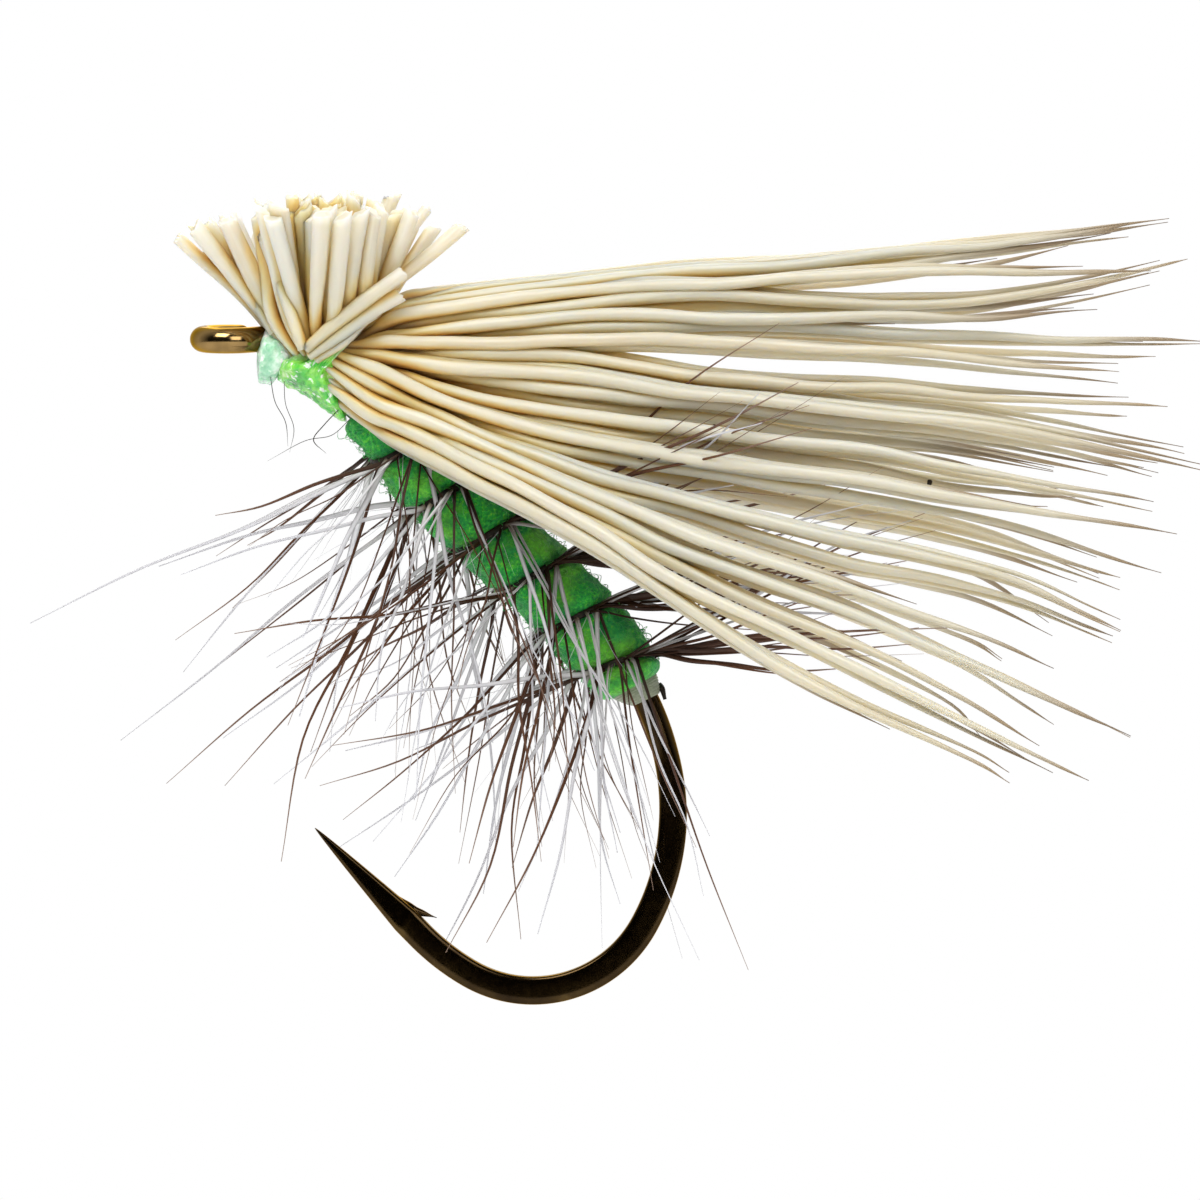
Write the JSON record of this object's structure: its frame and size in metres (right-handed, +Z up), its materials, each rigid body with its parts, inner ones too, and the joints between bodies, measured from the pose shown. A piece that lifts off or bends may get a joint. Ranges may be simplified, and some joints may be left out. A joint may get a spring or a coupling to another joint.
{
  "type": "dry fly",
  "caption": "Hair-wing caddis dry fly on a down-eye hook, with a green dubbed body, hackle wound along it, a tent wing of pale hair and a trimmed hair head.",
  "frame": {"origin": "centre of the hook's eye", "axes": "+X aft from the eye to the wing tips, +Z up as the fly floats, -Y towards the fly's left side; the hook lies in the plane Y = 0"},
  "size_m": [0.0187, 0.0126, 0.0133],
  "materials": {
    "bronzed_steel": "gloss",
    "tying_thread": "gloss",
    "pale_thread": "satin",
    "green_dubbing": "matte",
    "hackle_barb": "satin",
    "elk_hair": "satin",
    "head_cement": "gloss"
  },
  "bodies": {
    "root": {"dubbed_body": "green_dubbing", "hackle_feather": "hackle_barb", "hair_left_01": "elk_hair", "hair_left_02": "elk_hair", "hair_left_03": "elk_hair", "hair_left_04": "elk_hair", "hair_left_05": "elk_hair", "hair_left_06": "elk_hair", "hair_left_07": "elk_hair", "hair_left_08": "elk_hair", "hair_left_09": "elk_hair", "hair_left_10": "elk_hair", "hair_left_11": "elk_hair", "hair_left_12": "elk_hair", "hair_left_13": "elk_hair", "hair_left_14": "elk_hair", "hair_left_15": "elk_hair", "hair_left_16": "elk_hair", "hair_left_17": "elk_hair", "hair_left_18": "elk_hair", "hair_left_19": "elk_hair", "hair_left_20": "elk_hair", "hair_left_21": "elk_hair", "hair_left_22": "elk_hair", "hair_left_23": "elk_hair", "hair_left_24": "elk_hair", "hair_left_25": "elk_hair", "hair_left_26": "elk_hair", "hair_right_01": "elk_hair", "hair_right_02": "elk_hair", "hair_right_03": "elk_hair", "hair_right_04": "elk_hair", "hair_right_05": "elk_hair", "hair_right_06": "elk_hair", "hair_right_07": "elk_hair", "hair_right_08": "elk_hair", "hair_right_09": "elk_hair", "hair_right_10": "elk_hair", "hair_right_11": "elk_hair", "hair_right_12": "elk_hair", "hair_right_13": "elk_hair", "hair_right_14": "elk_hair", "hair_right_15": "elk_hair", "hair_right_16": "elk_hair", "hair_right_17": "elk_hair", "hair_right_18": "elk_hair", "hair_right_19": "elk_hair", "hair_right_20": "elk_hair", "head_cement": "head_cement", "hook": "bronzed_steel", "rear_thread_wraps": "pale_thread", "thread_collar": "tying_thread", "thread_underwrap": "tying_thread"}
  },
  "joints": []
}
